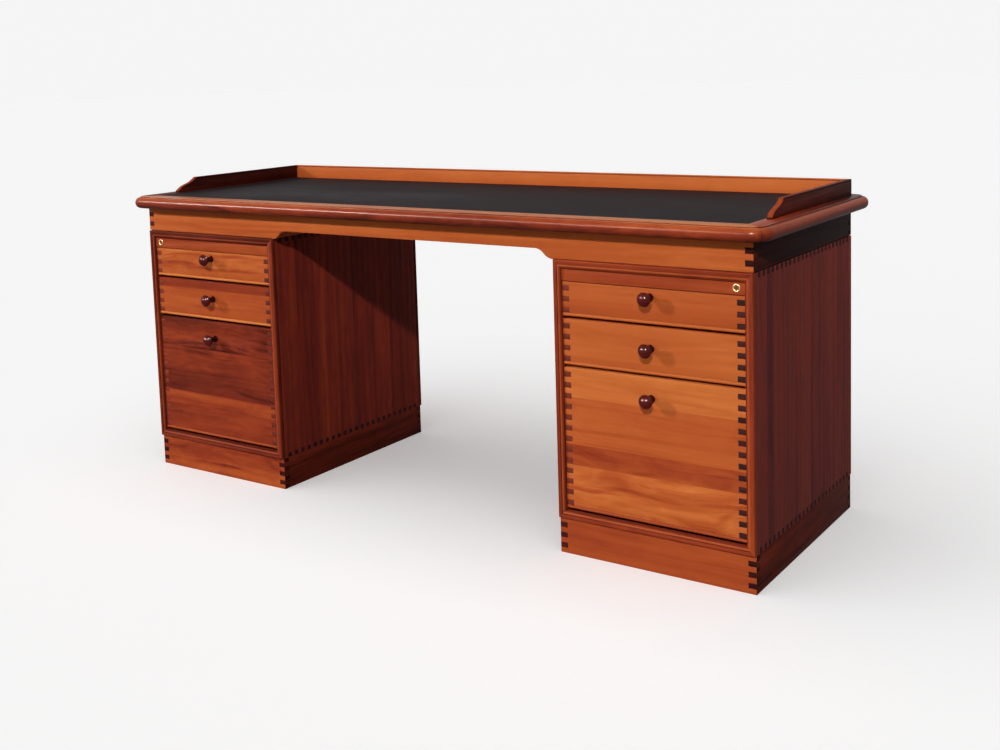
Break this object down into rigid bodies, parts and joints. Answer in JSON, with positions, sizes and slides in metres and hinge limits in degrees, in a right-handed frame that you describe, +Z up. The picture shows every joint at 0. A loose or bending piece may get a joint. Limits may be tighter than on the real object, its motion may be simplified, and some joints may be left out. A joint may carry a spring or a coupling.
{
  "type": "twin-pedestal desk",
  "caption": "Twin-pedestal writing desk with finger-jointed drawers, leather writing surface, low gallery and a kneehole between the pedestals.",
  "frame": {"origin": "on the floor under the middle of the desk", "axes": "+X to the right of the person who sits at the desk, +Y from the sitter towards the gallery back, +Z up"},
  "size_m": [1.856, 0.677, 0.7984],
  "materials": {
    "mahogany": "polished red-brown timber",
    "mahogany_front": "polished orange-brown timber",
    "turned_knob": "dark gloss",
    "inner_timber": "plain sealed timber",
    "leather_black": "satin",
    "lock_brass": "polished",
    "bright_steel": "plain"
  },
  "bodies": {
    "desk": {"top_edge_front": "mahogany", "top_edge_back": "mahogany", "top_edge_right": "mahogany", "top_edge_left": "mahogany", "top_core": "inner_timber", "leather_inlay": "leather_black", "gallery_back": "mahogany_front", "gallery_right": "mahogany", "gallery_left": "mahogany", "apron_front": "mahogany", "apron_back": "mahogany", "frame_side_right": "mahogany", "frame_side_left": "mahogany", "cross_rails": "inner_timber", "right_outer_panel": "mahogany", "right_inner_panel": "mahogany", "right_carcass_bottom": "mahogany", "right_carcass_top": "mahogany", "right_back_panel": "mahogany", "right_front_frame": "mahogany", "right_back_frame": "mahogany", "right_plinth": "mahogany", "right_runners": "inner_timber", "right_lock_rail": "mahogany", "right_lock_housing": "lock_brass", "right_lock_guides": "inner_timber", "left_outer_panel": "mahogany", "left_inner_panel": "mahogany", "left_carcass_bottom": "mahogany", "left_carcass_top": "mahogany", "left_back_panel": "mahogany", "left_front_frame": "mahogany", "left_back_frame": "mahogany", "left_plinth": "mahogany", "left_runners": "inner_timber", "left_lock_rail": "mahogany", "left_lock_housing": "lock_brass", "left_lock_guides": "inner_timber"},
    "right_bottom_drawer": {"right_bottom_drawer_front": "mahogany_front", "right_bottom_drawer_box": "inner_timber", "right_bottom_knob": "turned_knob"},
    "right_middle_drawer": {"right_middle_drawer_front": "mahogany_front", "right_middle_drawer_box": "inner_timber", "right_middle_knob": "turned_knob"},
    "right_top_drawer": {"right_top_drawer_front": "mahogany_front", "right_top_drawer_box": "inner_timber", "right_top_knob": "turned_knob"},
    "right_plug": {"right_lock_plug": "lock_brass"},
    "right_bar": {"right_lock_bar": "bright_steel"},
    "left_bottom_drawer": {"left_bottom_drawer_front": "mahogany_front", "left_bottom_drawer_box": "inner_timber", "left_bottom_knob": "turned_knob"},
    "left_middle_drawer": {"left_middle_drawer_front": "mahogany_front", "left_middle_drawer_box": "inner_timber", "left_middle_knob": "turned_knob"},
    "left_top_drawer": {"left_top_drawer_front": "mahogany_front", "left_top_drawer_box": "inner_timber", "left_top_knob": "turned_knob"},
    "left_plug": {"left_lock_plug": "lock_brass"},
    "left_bar": {"left_lock_bar": "bright_steel"}
  },
  "joints": [
    {"name": "right_bottom_drawer_slide", "type": "slide", "parent": "desk", "child": "right_bottom_drawer", "axis": [0, -1, 0], "range_m": [0, 0.38]},
    {"name": "right_middle_drawer_slide", "type": "slide", "parent": "desk", "child": "right_middle_drawer", "axis": [0, -1, 0], "range_m": [0, 0.38]},
    {"name": "right_top_drawer_slide", "type": "slide", "parent": "desk", "child": "right_top_drawer", "axis": [0, -1, 0], "range_m": [0, 0.38]},
    {"name": "right_key_turn", "type": "hinge", "parent": "desk", "child": "right_plug", "pos_m": [0.85, -0.293, 0.6324], "axis": [0, -1, 0], "range_deg": [0, 90]},
    {"name": "right_bar_drop", "type": "slide", "parent": "desk", "child": "right_bar", "axis": [0, 0, -1], "range_m": [0, 0.00848]},
    {"name": "left_bottom_drawer_slide", "type": "slide", "parent": "desk", "child": "left_bottom_drawer", "axis": [0, -1, 0], "range_m": [0, 0.38]},
    {"name": "left_middle_drawer_slide", "type": "slide", "parent": "desk", "child": "left_middle_drawer", "axis": [0, -1, 0], "range_m": [0, 0.38]},
    {"name": "left_top_drawer_slide", "type": "slide", "parent": "desk", "child": "left_top_drawer", "axis": [0, -1, 0], "range_m": [0, 0.38]},
    {"name": "left_key_turn", "type": "hinge", "parent": "desk", "child": "left_plug", "pos_m": [-0.85, -0.293, 0.6324], "axis": [0, 1, 0], "range_deg": [0, 90]},
    {"name": "left_bar_drop", "type": "slide", "parent": "desk", "child": "left_bar", "axis": [0, 0, -1], "range_m": [0, 0.00848]}
  ],
  "couplings": [
    {"joint": "right_key_turn", "follows": "right_bar_drop", "rad_per_m": 185.12},
    {"joint": "left_key_turn", "follows": "left_bar_drop", "rad_per_m": 185.12}
  ]
}
